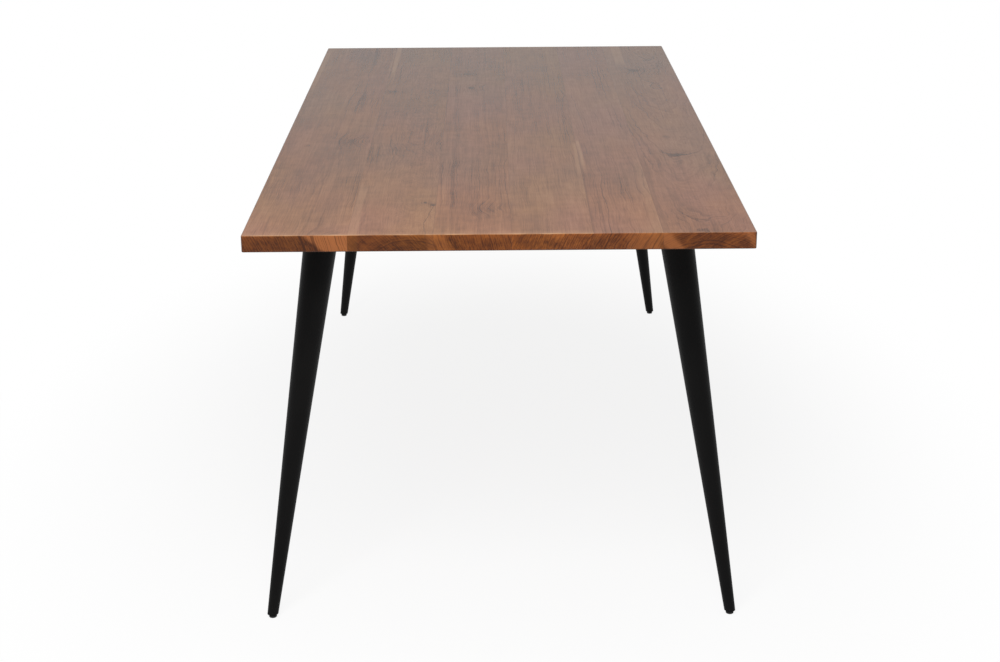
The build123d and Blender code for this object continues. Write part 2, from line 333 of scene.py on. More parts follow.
def stain_ends(wood, colour, late, end_tone, end_patches):
    """End grain drinks more stain, and its upper part is painted lighter where light from above falls.
    Sapwood stays pale there in patches.
    """
    tree = wood.tree
    end_stain = tuple(end_tone * channel for channel in END_STAIN)
    stained = mix_colour(tree, 1.0, colour, end_stain, "MULTIPLY")
    # Painted light: the end face gets lighter towards its top edge, as if lit from above.
    painted_top_light = fade(tree, wood.z, TOP_FACE - 14 * MM, TOP_FACE + 1 * MM, 1.0, END_PAINTED_TOP_LIGHT)
    stained = vector(tree, "SCALE", stained, None, None, painted_top_light)
    colour = mix_colour(tree, wood.end_grain, colour, stained)
    above_middle = maths(tree, "SUBTRACT", wood.z, TOP_MIDDLE)
    for patch in end_patches:
        side = layered(
            tree, wood.x, (above_middle, patch.lean), (wood.ragged, 14 * MM), (wood.blotches, 15 * MM))
        pale = times(
            tree, between(tree, side, across_top(patch.left), across_top(patch.right), 7 * MM),
            wood.end_grain, fade(tree, late, 0.0, 1.2, patch.strength, 0.4 * patch.strength))
        colour = mix_colour(tree, pale, colour, END_SAPWOOD)
    return colour


def open_cracks(wood, cracks):
    """Fine cracks in the top face, each a wavy line along the grain."""
    tree = wood.tree
    split = 0.0
    waves = noise(tree, wood.in_log, (3.0, 30.0, 3.0), 4, 0.65)
    deep = fade(tree, wood.z, TOP_FACE - CRACK_DEPTH, TOP_FACE - 3 * MM)
    for crack in cracks:
        start = along_top(crack.start_front)
        end = along_top(crack.end_front)
        slope = (across_top(crack.end_left) - across_top(crack.start_left)) / (end - start)
        side = maths(tree, "ADD", wood.x, slope * start - across_top(crack.start_left))
        side = layered(tree, side, (wood.y, -slope), (waves, 9 * MM))
        half_width = crack.half_width * MM
        line = fade(tree, maths(tree, "ABSOLUTE", side), half_width, 0.4 * half_width)
        split = highest(tree, split, times(tree, line, between(tree, wood.y, start, end, 6 * MM), deep))
    return split


def mark_glue_lines(wood, colour, node_name):
    """The thin dark line where a board meets the next one."""
    tree = wood.tree
    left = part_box(node_name)[0].x
    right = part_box(node_name)[1].x
    glue_line = highest(tree, fade(tree, wood.x, left + 0.7 * MM, left + 0.1 * MM),
                        fade(tree, wood.x, right - 0.7 * MM, right - 0.1 * MM))
    glue_line = times(tree, glue_line, fade(tree, wood.ragged, -0.15, 0.2, 0.2, 0.7))
    return mix_colour(tree, glue_line, colour, HEART_DARK)


def wear_and_light_top_edges(wood, colour, edge_wear_and_highlight):
    """The upper edge at both ends is pale, partly sanding wear and partly a painted highlight. The front
    strip also gets a painted glow of light.
    """
    tree = wood.tree
    from_end = maths(tree, "SUBTRACT", TOP_BACK, maths(tree, "ABSOLUTE", wood.y))
    patchy = fade(tree, noise(tree, wood.in_log, (22.0, 22.0, 22.0), 3), -0.15, 0.2, 0.1, 0.55)
    # Partly sanding wear and partly a painted highlight: a pale line on the rounded upper edge near both
    # ends.
    rubbed = times(tree, patchy, fade(tree, from_end, 6.5 * MM, 4 * MM))
    # Painted light: a soft glow on the front strip of the top, where the front light falls.
    painted_front_glow = fade(tree, wood.y, TOP_FRONT + 26 * MM, TOP_FRONT + 3 * MM, 0.0, 0.2)
    upper_face = fade(tree, wood.z, TOP_FACE - 1.0 * MM, TOP_FACE - 0.4 * MM, 0.0, edge_wear_and_highlight)
    rubbed = times(tree, maths(tree, "ADD", rubbed, painted_front_glow), upper_face)
    return mix_colour(tree, rubbed, colour, SAPWOOD)


def paint_edge_shade(wood, colour):
    """Painted shade along the rounded sides of the top and on the corners of its ends, and a painted shadow
    line under its ends.
    """
    tree = wood.tree
    near_side = highest(tree, fade(tree, wood.x, TOP_LEFT + 1.9 * MM, TOP_LEFT + 0.9 * MM),
                        fade(tree, wood.x, TOP_RIGHT - 1.9 * MM, TOP_RIGHT - 0.9 * MM))
    near_side = times(tree, near_side, fade(tree, wood.z, TOP_FACE - 1.8 * MM, TOP_FACE - 1.2 * MM))
    lower_edge = fade(tree, wood.z, TOP_UNDERSIDE + 2.4 * MM, TOP_UNDERSIDE + 0.8 * MM)
    lower_edge = times(tree, lower_edge, wood.end_grain)
    outwards_x = maths(tree, "ABSOLUTE", wood.x)
    outwards_y = maths(tree, "ABSOLUTE", wood.y)
    corner = times(tree, fade(tree, outwards_x, TOP_RIGHT - 2.2 * MM, TOP_RIGHT - 0.8 * MM),
                   fade(tree, outwards_y, TOP_BACK - 4 * MM, TOP_BACK - 3 * MM))
    # Painted shade: the rounded edges are darkened where they turn away from the light.
    painted_edge_shade = highest(tree, times(tree, near_side, 0.45), times(tree, highest(tree, lower_edge, corner), 0.6))
    return mix_colour(tree, painted_edge_shade, colour, KNOT_BROWN)


def plank_wood(node_name, seed, pith, lean, ring_width, tone, end_tone, saw_slant, edge_wear_and_highlight,
               knots=(), streaks=(), end_patches=(), cracks=()):
    """The wood of one board. The pith is given from the left edge and up from the floor, in millimetres."""
    wood = new_wood(node_name, seed)
    tree = wood.tree
    radius, knot_heart, halo = grow_knots(wood, from_pith(wood, pith, lean), knots)
    rings = growth_rings(wood, radius, ring_width, halo)
    late = rings[0]
    pores = fade(tree, noise(tree, wood.in_log, (1000.0, 42.0, 1000.0)), 0.04, 0.22)
    split = open_cracks(wood, cracks)
    colour = heartwood(wood, radius, rings, halo, tone, saw_slant)
    colour = add_streaks(wood, colour, streaks)
    colour = mix_colour(tree, times(tree, knot_heart, 0.75), colour, KNOT_BROWN)
    colour = stain_ends(wood, colour, late, end_tone, end_patches)
    colour = mix_colour(tree, times(tree, pores, 0.24), colour, HEART_DARK)
    colour = mix_colour(tree, times(tree, split, 0.6), colour, KNOT_BROWN)
    colour = mark_glue_lines(wood, colour, node_name)
    colour = wear_and_light_top_edges(wood, colour, edge_wear_and_highlight)
    colour = paint_edge_shade(wood, colour)
    tree.links.new(colour, wood.shader.inputs["Base Color"])
    roughness = layered(
        tree, LACQUER_ROUGHNESS, (wood.end_grain, 0.34), (wood.blotches, 0.03), (wood.underside, 0.3))
    tree.links.new(roughness, wood.shader.inputs["Roughness"])
    wood.shader.inputs["Specular IOR Level"].default_value = LACQUER_SHINE
    height = layered(tree, times(tree, pores, -0.8), (late, -0.35), (split, -3.0), (wood.fibres, 0.6))
    add_bump(tree, wood.shader, height, GRAIN_BUMP, GRAIN_DEPTH)
    dress(node_name, wood.material)


plank_wood(
    "top_board_1", seed=1.9, pith=(-240, 640), lean=(0.004, 0.010), ring_width=5.0, tone=0.51,
    end_tone=0.74, saw_slant=0.6, edge_wear_and_highlight=0.9,
    knots=(Knot(143, 715, 12, 18, 0.5), Knot(55, 675, 3, 4, 0.8), Knot(142, -5, 10, 26, 0.0)),
    streaks=(Streak(-1, 13, 1200, 1800, 0.35, SAPWOOD), Streak(180, 187, 1380, 1800, 0.3, SAPWOOD)),
    end_patches=(EndPatch(124, 230, 1.0, 0.65),))
plank_wood(
    "top_board_2", seed=2.7, pith=(287, 650), lean=(0.004, -0.006), ring_width=4.6, tone=0.48,
    end_tone=0.79, saw_slant=0.9, edge_wear_and_highlight=0.7,
    knots=(Knot(314, 212, 5, 9, 0.9), Knot(330, 196, 5, 9, 0.9), Knot(207, 1220, 7, 6, 0.9)),
    streaks=(Streak(184, 202, -220, 370, 0.24, SAPWOOD), Streak(187, 200, 1330, 1860, 0.50, SAPWOOD)),
    end_patches=(EndPatch(324, 350, 0.3, 0.22),),
    cracks=(Crack(322, -20, 317, 70, 0.9), Crack(317, 70, 330, 185, 0.8)))
plank_wood(
    "top_board_3", seed=4.1, pith=(120, 670), lean=(-0.008, 0.012), ring_width=7.0, tone=0.53,
    end_tone=0.93, saw_slant=0.25, edge_wear_and_highlight=0.9,
    knots=(Knot(391, 1260, 11, 12, 0.9), Knot(379, 1430, 11, 9, 0.9), Knot(420, 170, 12, 16, 0.0)),
    end_patches=(EndPatch(318, 362, 0.3, 0.22),))
plank_wood(
    "top_board_4", seed=5.9, pith=(740, 650), lean=(0.006, 0.008), ring_width=5.4, tone=0.54,
    end_tone=1.20, saw_slant=-0.4, edge_wear_and_highlight=1.1,
    streaks=(Streak(608, 616, 380, 700, 0.3, SAPWOOD),))
plank_wood(
    "top_board_5", seed=7.7, pith=(900, 640), lean=(-0.006, 0.010), ring_width=5.6, tone=0.57,
    end_tone=0.92, saw_slant=-0.7, edge_wear_and_highlight=0.25,
    streaks=(Streak(614, 624, 420, 720, 0.45, SAPWOOD), Streak(613, 618, -260, 700, 0.40, HEART_DARK),
             Streak(722, 738, -260, 620, 0.14, SAPWOOD)),
    end_patches=(EndPatch(676, 739, -0.4, 0.30),))
plank_wood(
    "top_board_6", seed=9.4, pith=(832, 650), lean=(0.010, 0.060), ring_width=4.2, tone=0.56,
    end_tone=0.90, saw_slant=-1.6, edge_wear_and_highlight=0.2,
    knots=(Knot(820, 570, 12, 3, 0.4), Knot(810, 730, 8, 10, 0.4), Knot(800, 1460, 12, 9, 0.8)),
    streaks=(Streak(758, 782, 1480, 1830, 0.35, SAPWOOD), Streak(736, 748, -260, 640, 0.26, HEART_DARK)),
    end_patches=(EndPatch(730, 762, 0.9, 0.5), EndPatch(886, 902, 0.8, 0.5)))


# Dowels: beech pins glued across the glue lines, which hold the boards level while the glue sets.
# The boards hide them.
BEECH_LIGHT = (0.56, 0.37, 0.22)
BEECH_DARK = (0.40, 0.24, 0.13)
BEECH_ROUGHNESS = 0.7


def beech(name):
    """Plain beech with fibres along the pin and short dark flecks."""
    material, tree, shader = new_material(name)
    place = add_node(tree, "TexCoord").outputs["Object"]
    fibres = noise(tree, place, (40.0, 900.0, 900.0), 3)
    flecks = fade(tree, noise(tree, place, (160.0, 1500.0, 1500.0)), 0.1, 0.22)
    colour = ramp(tree, maths(tree, "ADD", fibres, 0.5), (0.25, BEECH_DARK), (0.75, BEECH_LIGHT))
    colour = mix_colour(tree, times(tree, flecks, 0.5), colour, BEECH_DARK)
    tree.links.new(colour, shader.inputs["Base Color"])
    tree.links.new(layered(tree, BEECH_ROUGHNESS, (fibres, 0.2)), shader.inputs["Roughness"])
    add_bump(tree, shader, fibres, 0.3, 0.1 * MM)
    return material


dress("board_dowels", beech("dowel_beech"))


# Stiffener channels: three lengths of rolled steel channel, powder coated matt black.
# Each lies in a groove across the underside, flush with it, and keeps the glued boards flat.
CHANNEL_SPOTS = ("front", "middle", "rear")
COAT_DARK = (0.0028, 0.0027, 0.0027)
COAT_LIGHT = (0.0052, 0.0050, 0.0049)
COAT_ROUGHNESS = 0.48
COAT_SHINE = 0.08
PEEL_BUMP = 0.25
PEEL_DEPTH = 0.12 * MM


def powder_coat(name):
    """Matt black coat. Gives its place, and the height of its orange-peel grain, for more marks on it."""
    material, tree, shader = new_material(name)
    place = add_node(tree, "TexCoord").outputs["Object"]
    peel = noise(tree, place, (520.0, 520.0, 520.0), 2)
    specks = fade(tree, noise(tree, place, (1900.0, 1900.0, 1900.0)), 0.12, 0.26)
    patches = noise(tree, place, (17.0, 17.0, 7.0), 3)
    colour = ramp(tree, maths(tree, "ADD", patches, 0.5), (0.3, COAT_DARK), (0.7, COAT_LIGHT))
    tree.links.new(colour, shader.inputs["Base Color"])
    roughness = layered(tree, COAT_ROUGHNESS, (specks, 0.10), (patches, 0.16))
    tree.links.new(roughness, shader.inputs["Roughness"])
    shader.inputs["Specular IOR Level"].default_value = COAT_SHINE
    return material, tree, shader, place, layered(tree, peel, (specks, 0.4))


def plain_coat(name):
    """Powder coat with its own grain alone."""
    material, tree, shader, _, grain = powder_coat(name)
    add_bump(tree, shader, grain, PEEL_BUMP, PEEL_DEPTH)
    return material


black_coat = plain_coat("black_powder_coat")
for spot in CHANNEL_SPOTS:
    dress("stiffener_channel_" + spot, black_coat)


# Channel screws: pan-head wood screws of zinc-plated steel with a cross recess, five to a channel.
# They go up through the web of the channel into the boards, the outer ones through slots.
SCREWS_PER_CHANNEL = 5
SCREW_SPACING = 155 * MM
CHANNEL_WALL = 2.5 * MM
PAN_RADIUS = 4.75 * MM
PAN_HEIGHT = 3.0 * MM
PAN_ROUND = 1.4 * MM
WOOD_SCREW_RADIUS = 2.5 * MM
WOOD_SCREW_TIP = 3.0 * MM
WOOD_SCREW_TIP_TAPER = 0.25
RECESS_LENGTH = 4.6 * MM
RECESS_WIDTH = 1.0 * MM
RECESS_DEPTH = 1.7 * MM
RECESS_TAPER = 0.45
WEB_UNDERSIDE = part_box("stiffener_channel_front")[1].z - CHANNEL_WALL
WOOD_SCREW_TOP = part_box("channel_screws")[1].z
ZINC_LIGHT = (0.46, 0.47, 0.46)
ZINC_DARK = (0.30, 0.31, 0.30)
ZINC_ROUGHNESS = 0.42
ROUND_SIDES = 40
SMOOTH_ANGLE = math.radians(32)
TINY = 0.02 * MM


def middle(node_name):
    """Middle of a solid of the frame."""
    low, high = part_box(node_name)
    return (low + high) / 2


def deselect_mesh(kind):
    """Deselects all of the active mesh, and leaves edit mode so that faces or edges can be selected in it."""
    bpy.ops.object.mode_set(mode="EDIT")
    bpy.ops.mesh.select_mode(type=kind)
    bpy.ops.mesh.select_all(action="DESELECT")
    bpy.ops.object.mode_set(mode="OBJECT")


def pick_faces(piece, test):
    """Leaves the piece in edit mode with only the faces selected whose centre and normal pass the test."""
    deselect_mesh("FACE")
    for face in piece.data.polygons:
        face.select = test(face.center, face.normal)
    bpy.ops.object.mode_set(mode="EDIT")


def pick_edges(piece, test):
    """Leaves the piece in edit mode with only the edges selected whose two ends pass the test."""
    deselect_mesh("EDGE")
    points = piece.data.vertices
    for edge in piece.data.edges:
        edge.select = test(points[edge.vertices[0]].co, points[edge.vertices[1]].co)
    bpy.ops.object.mode_set(mode="EDIT")


def faces_up(centre, normal):
    return normal.z > 0.9


def extrude_up(distance):
    bpy.ops.mesh.extrude_region_move(TRANSFORM_OT_translate={"value": (0.0, 0.0, distance)})


def settle(name):
    """Names the active piece and puts its place into its mesh."""
    piece = bpy.context.object
    piece.name = name
    bpy.ops.object.transform_apply(location=True, rotation=True, scale=True)
    return piece


def only(*pieces):
    """Selects these pieces alone, or nothing. The last one is the active one."""
    bpy.ops.object.select_all(action="DESELECT")
    for piece in pieces:
        piece.select_set(True)
        bpy.context.view_layer.objects.active = piece


def copy_to(piece, name, place):
    """Copies a piece, with a mesh of its own, to another place."""
    only(piece)
    bpy.ops.object.duplicate(linked=False)
    bpy.ops.transform.translate(value=place)
    return settle(name)


def zinc_plate(name):
    """Dull bright metal with a faint spangle and fine scratches."""
    material, tree, shader = new_material(name)
    place = add_node(tree, "TexCoord").outputs["Object"]
    spangle = noise(tree, place, (260.0, 260.0, 260.0), 3)
    scratches = noise(tree, place, (2200.0, 300.0, 300.0), 2)
    colour = ramp(tree, maths(tree, "ADD", spangle, 0.5), (0.3, ZINC_DARK), (0.7, ZINC_LIGHT))
    tree.links.new(colour, shader.inputs["Base Color"])
    tree.links.new(layered(tree, ZINC_ROUGHNESS, (spangle, 0.25)), shader.inputs["Roughness"])
    shader.inputs["Metallic"].default_value = 1.0
    add_bump(tree, shader, layered(tree, spangle, (scratches, 0.5)), 0.15, 0.05 * MM)
    return material


def recess_cutter():
    """Two crossed blades that narrow upwards, as the bit that fits the recess does."""
    blades = []
    for turn in (0.0, math.pi / 2):
        bpy.ops.mesh.primitive_cube_add(size=1.0, location=(0.0, 0.0, WEB_UNDERSIDE - PAN_HEIGHT))
        blade = bpy.context.object
        blade.scale = (RECESS_LENGTH, RECESS_WIDTH, 2 * RECESS_DEPTH)
        blade.rotation_euler.z = turn
        blades.append(settle("recess_blade"))
        pick_faces(blade, faces_up)
        bpy.ops.transform.resize(value=(RECESS_TAPER, RECESS_TAPER, 1.0))
        bpy.ops.object.mode_set(mode="OBJECT")
    return blades


def pan_head_screw():
    """Rounded head under the web, shank up into the wood, and a cross recess cut in the head."""
    only()
    bpy.ops.mesh.primitive_cylinder_add(vertices=ROUND_SIDES, radius=PAN_RADIUS, depth=PAN_HEIGHT,
                                        location=(0.0, 0.0, WEB_UNDERSIDE - PAN_HEIGHT / 2))
    screw = settle("pan_head_screw")
    rim = WEB_UNDERSIDE - PAN_HEIGHT + TINY
    pick_edges(screw, lambda first, second: first.z < rim and second.z < rim)
    bpy.ops.mesh.bevel(offset=PAN_ROUND, segments=5, affect="EDGES")
    pick_faces(screw, faces_up)
    bpy.ops.mesh.inset(thickness=PAN_RADIUS - WOOD_SCREW_RADIUS)
    extrude_up(WOOD_SCREW_TOP - WEB_UNDERSIDE - WOOD_SCREW_TIP)
    extrude_up(WOOD_SCREW_TIP)
    bpy.ops.transform.resize(value=(WOOD_SCREW_TIP_TAPER, WOOD_SCREW_TIP_TAPER, 1.0))
    bpy.ops.object.mode_set(mode="OBJECT")
    for blade in recess_cutter():
        cut = screw.modifiers.new("cross_recess", "BOOLEAN")
        cut.operation = "DIFFERENCE"
        cut.solver = "EXACT"
        cut.object = blade
        only(screw)
        bpy.ops.object.modifier_apply(modifier=cut.name)
        bpy.data.objects.remove(blade)
    bpy.ops.object.shade_smooth_by_angle(angle=SMOOTH_ANGLE)
    return screw


zinc = zinc_plate("zinc_plate")
first_screw = pan_head_screw()
first_screw.data.materials.append(zinc)
for spot in CHANNEL_SPOTS:
    row = middle("stiffener_channel_" + spot).y
    for number in range(1, SCREWS_PER_CHANNEL + 1):
        column = (number - (SCREWS_PER_CHANNEL + 1) / 2) * SCREW_SPACING
        screw = copy_to(first_screw, "channel_screw_%s_%d" % (spot, number), (column, row, 0.0))
        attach(screw, "table")
        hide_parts("channel_screws")
bpy.data.objects.remove(first_screw)


# Threaded inserts: zinc-plated steel bushes, screwed and glued into the boards for the leg bolts.
# The mounting plates cover them.
dress("threaded_inserts", zinc)


# Leg tubes: cones rolled from 2 mm sheet steel, welded along the inner side, ground and powder coated.
# Both ends are cut level, the upper one for its mounting plate and the lower one for the foot.
CORNERS = {"front_left": (-1, -1), "front_right": (1, -1), "rear_left": (-1, 1), "rear_right": (1, 1)}
LEG_TOP = Vector((*middle("mounting_plate_rear_right").xy, TOP_UNDERSIDE))
LEG_FOOT = Vector((*middle("foot_pad_rear_right").xy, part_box("leg_tube_rear_right")[0].z))
LEG_TOP_RADIUS = 32.0 * MM
LEG_FOOT_RADIUS = 10.3 * MM
LEG_WALL = 2.0 * MM
LEG_SPARE = 40.0 * MM
LEG_SIDES = 128
PLATE_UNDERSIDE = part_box("mounting_plate_rear_right")[0].z
SEAM_HALF_WIDTH = 1.6 * MM
SEAM_HEIGHT = 1.6
SCUFF_GREY = (0.035, 0.034, 0.033)
SCUFF_REACH = 30.0 * MM
leg_run = LEG_TOP - LEG_FOOT
leg_taper = (LEG_TOP_RADIUS - LEG_FOOT_RADIUS) / leg_run.length
leg_inward = Vector((leg_run.x, leg_run.y, 0.0)).normalized()
leg_lean = math.hypot(leg_run.x, leg_run.y) / leg_run.z
across_leg = Vector((-leg_inward.y, leg_inward.x, 0.0))


def leg_coat(name):
    """Powder coat with the ground weld seam on the inner side of each leg, and scuffs at its foot."""
    material, tree, shader, place, grain = powder_coat(name)
    from_foot = vector(tree, "SUBTRACT", vector(tree, "ABSOLUTE", place), LEG_FOOT)
    aside = measure(tree, "DOT_PRODUCT", from_foot, across_leg)
    inward = measure(tree, "DOT_PRODUCT", from_foot, leg_inward)
    up_leg = add_node(tree, "SeparateXYZ", from_foot).outputs[2]
    inner_side = fade(tree, layered(tree, inward, (up_leg, -leg_lean)), 2 * MM, 5 * MM)
    aside = layered(tree, aside, (noise(tree, place, (60.0, 60.0, 25.0)), 1.2 * MM))
    seam = times(tree, fade(tree, maths(tree, "ABSOLUTE", aside), SEAM_HALF_WIDTH, 0.3 * MM), inner_side)
    ground = layered(tree, 1.0, (noise(tree, place, (300.0, 300.0, 140.0)), 0.8))
    height = layered(tree, grain, (times(tree, seam, ground), SEAM_HEIGHT))
    add_bump(tree, shader, height, PEEL_BUMP, PEEL_DEPTH)
    scuffs = fade(tree, noise(tree, place, (240.0, 240.0, 700.0), 3), 0.10, 0.24)
    scuffs = times(tree, scuffs, fade(tree, up_leg, SCUFF_REACH, 2 * MM, 0.0, 0.6))
    coat_colour = shader.inputs["Base Color"].links[0].from_socket
    worn_colour = mix_colour(tree, scuffs, coat_colour, SCUFF_GREY)
    tree.links.new(worn_colour, shader.inputs["Base Color"])
    return material


def turn_outwards():
    """Points all the faces of the mesh in edit mode outwards, and leaves edit mode."""
    bpy.ops.mesh.select_all(action="SELECT")
    bpy.ops.mesh.normals_make_consistent(inside=False)
    bpy.ops.object.mode_set(mode="OBJECT")


def leg_tube():
    """The rear right leg: a cone with its wall, cut level where the plate and the foot meet it."""
    only()
    bpy.ops.mesh.primitive_cone_add(vertices=LEG_SIDES, end_fill_type="NOTHING",
                                    radius1=LEG_FOOT_RADIUS - leg_taper * LEG_SPARE,
                                    radius2=LEG_TOP_RADIUS + leg_taper * LEG_SPARE,
                                    depth=leg_run.length + 2 * LEG_SPARE,
                                    location=(LEG_TOP + LEG_FOOT) / 2,
                                    rotation=leg_run.to_track_quat("Z", "Y").to_euler())
    tube = settle("leg_tube")
    wall = tube.modifiers.new("wall", "SOLIDIFY")
    wall.thickness = LEG_WALL
    wall.offset = -1.0
    bpy.ops.object.modifier_apply(modifier=wall.name)
    for level, cut_above in ((PLATE_UNDERSIDE, True), (LEG_FOOT.z, False)):
        bpy.ops.object.mode_set(mode="EDIT")
        bpy.ops.mesh.select_all(action="SELECT")
        bpy.ops.mesh.bisect(plane_co=(0.0, 0.0, level), plane_no=(0.0, 0.0, 1.0), clear_outer=cut_above,
                            clear_inner=not cut_above)
        pick_edges(tube, lambda first, second: max(abs(first.z - level), abs(second.z - level)) < TINY)
        bpy.ops.mesh.bridge_edge_loops()
    turn_outwards()
    bpy.ops.object.shade_smooth_by_angle(angle=SMOOTH_ANGLE)
    return tube


first_leg = leg_tube()
first_leg.data.materials.append(leg_coat("leg_coat"))
for corner, (side_x, side_y) in CORNERS.items():
    only(first_leg)
    bpy.ops.object.duplicate(linked=False)
    bpy.context.object.scale = (side_x, side_y, 1.0)
    leg = settle("tapered_leg_" + corner)
    bpy.ops.object.mode_set(mode="EDIT")
    turn_outwards()
    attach(leg, "table")
    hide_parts("leg_tube_" + corner)
bpy.data.objects.remove(first_leg)


# Mounting plates: 5 mm steel squares with rounded corners, welded on the top of each leg.
# They are powder coated with the leg and take its four bolts.
for corner in CORNERS:
    dress("mounting_plate_" + corner, black_coat)


# Leg welds: the fillet weld that joins each leg to its plate, laid in one pass all round.
# Its ripples show through the powder coat.
BEAD_RADIUS = 2.6 * MM
BEAD_OUTSET = 0.9 * MM
BEAD_SECTIONS = 180
BEAD_SIDES = 12
RIPPLE_HEIGHT = 0.28 * MM
RIPPLE_SECTIONS = 3
leg_stretch = leg_run.length / leg_run.z
leg_radius_at_plate = LEG_TOP_RADIUS - leg_taper * leg_stretch * (LEG_TOP.z - PLATE_UNDERSIDE)


def on_ripple(point):
    section = round(math.atan2(point.y, point.x) * BEAD_SECTIONS / (2 * math.pi))
    return section % RIPPLE_SECTIONS == 0


def leg_weld():
    """A rippled bead, stretched to the oval where the slanted tube meets the plate."""
    only()
    bpy.ops.mesh.primitive_torus_add(major_radius=leg_radius_at_plate + BEAD_OUTSET, minor_radius=BEAD_RADIUS,
                                     major_segments=BEAD_SECTIONS, minor_segments=BEAD_SIDES)
    bead = settle("leg_weld")
    pick_edges(bead, lambda first, second: on_ripple(first) and on_ripple(second))
    bpy.ops.transform.shrink_fatten(value=-RIPPLE_HEIGHT)
    bpy.ops.mesh.select_all(action="SELECT")
    bpy.ops.transform.resize(value=(leg_stretch, 1.0, 1.0))
    turn_outwards()
    bpy.ops.object.shade_smooth()
    return bead


first_weld = leg_weld()
first_weld.data.materials.append(black_coat)
plate_point = LEG_FOOT + leg_run * ((PLATE_UNDERSIDE - LEG_FOOT.z) / leg_run.z)
for corner, (side_x, side_y) in CORNERS.items():
    only(first_weld)
    bpy.ops.object.duplicate(linked=False)
    weld = bpy.context.object
    weld.rotation_euler.z = math.atan2(side_y * leg_inward.y, side_x * leg_inward.x)
    weld.location = (side_x * plate_point.x, side_y * plate_point.y, PLATE_UNDERSIDE)
    settle("leg_weld_" + corner)
    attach(weld, "table")
bpy.data.objects.remove(first_weld)


# Leg bolts and washers: M8 button-head bolts of blackened steel with a hexagonal socket.
# Four go up through each mounting plate into the threaded inserts, on plain zinc-plated washers.
OXIDE_DARK = (0.018, 0.018, 0.020)
OXIDE_LIGHT = (0.034, 0.033, 0.034)
OXIDE_RUBBED = (0.12, 0.12, 0.12)
OXIDE_ROUGHNESS = 0.42


def black_oxide(name):
    """Blackened steel with a dull bloom, rubbed a little brighter in spots."""
    material, tree, shader = new_material(name)
    place = add_node(tree, "TexCoord").outputs["Object"]
    bloom = noise(tree, place, (300.0, 300.0, 300.0), 3)
    rubbed = fade(tree, noise(tree, place, (900.0, 900.0, 900.0), 2), 0.12, 0.26)
    colour = ramp(tree, maths(tree, "ADD", bloom, 0.5), (0.3, OXIDE_DARK), (0.7, OXIDE_LIGHT))
    colour = mix_colour(tree, times(tree, rubbed, 0.35), colour, OXIDE_RUBBED)
    tree.links.new(colour, shader.inputs["Base Color"])
    tree.links.new(layered(tree, OXIDE_ROUGHNESS, (bloom, 0.2)), shader.inputs["Roughness"])
    shader.inputs["Metallic"].default_value = 0.8
    add_bump(tree, shader, bloom, 0.15, 0.05 * MM)
    return material


dress("leg_bolts", black_oxide("black_oxide"))
dress("leg_washers", zinc)


# Foot plugs: turned steel plugs, zinc plated and tapped M6 upright.
# Each is pressed and welded into the low end of its leg.
for corner in CORNERS:
    dress("foot_plug_" + corner, zinc)


# Foot screws: M6 levelling screws of zinc-plated steel, turned by a hexagonal collar under the leg.
# A round pivot head at the low end is captive in the foot pad.
PIVOT_RADIUS = 4.6 * MM
PIVOT_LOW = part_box("foot_screw_rear_right")[0].z
PIVOT_HIGH = PIVOT_LOW + 1.5 * MM
PIVOT_EDGE = 0.3 * MM
NECK_RADIUS = 3.0 * MM
COLLAR_HIGH = LEG_FOOT.z
COLLAR_LOW = COLLAR_HIGH - 2.2 * MM
COLLAR_ACROSS_FLATS = 10.0 * MM
COLLAR_EDGE = 0.25 * MM
SHANK_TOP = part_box("foot_screw_rear_right")[1].z
SHANK_END = 0.6 * MM
SHANK_END_TAPER = 0.8
THREAD_RADIUS = 3.0 * MM
THREAD_CORE_RADIUS = 2.45 * MM
THREAD_PITCH = 1.0 * MM
THREAD_ROOT_WIDTH = 0.86 * THREAD_PITCH
THREAD_CREST_SHARE = 0.18
THREAD_OVERLAP = 0.1 * MM
THREAD_TURNS = round((SHANK_TOP - COLLAR_HIGH) / THREAD_PITCH) - 2
THREAD_STEPS = 24


def screw_thread():
    """One ridge of thread, a flat-topped wedge carried round and up by the pitch at each turn."""
    ridge = THREAD_RADIUS - THREAD_CORE_RADIUS + THREAD_OVERLAP
    only()
    bpy.ops.mesh.primitive_plane_add(size=1.0, rotation=(math.pi / 2, 0.0, 0.0))
    wedge = bpy.context.object
    wedge.scale = (ridge, THREAD_ROOT_WIDTH, 1.0)
    wedge.location = (THREAD_RADIUS - ridge / 2, 0.0, COLLAR_HIGH + THREAD_PITCH / 2)
    thread = settle("screw_thread")
    crest = THREAD_RADIUS - TINY
    pick_edges(thread, lambda first, second: first.x > crest and second.x > crest)
    bpy.ops.transform.resize(value=(1.0, 1.0, THREAD_CREST_SHARE))
    bpy.ops.mesh.select_all(action="SELECT")
    bpy.ops.mesh.delete(type="ONLY_FACE")
    bpy.ops.object.mode_set(mode="OBJECT")
    climb = thread.modifiers.new("climb", "SCREW")
    climb.axis = "Z"
    climb.angle = 2 * math.pi
    climb.screw_offset = THREAD_PITCH
    climb.iterations = THREAD_TURNS
    climb.steps = THREAD_STEPS
    climb.render_steps = THREAD_STEPS
    bpy.ops.object.modifier_apply(modifier=climb.name)
    bpy.ops.object.mode_set(mode="EDIT")
    bpy.ops.mesh.select_all(action="SELECT")
    bpy.ops.mesh.fill_holes(sides=0)
    turn_outwards()
    return thread


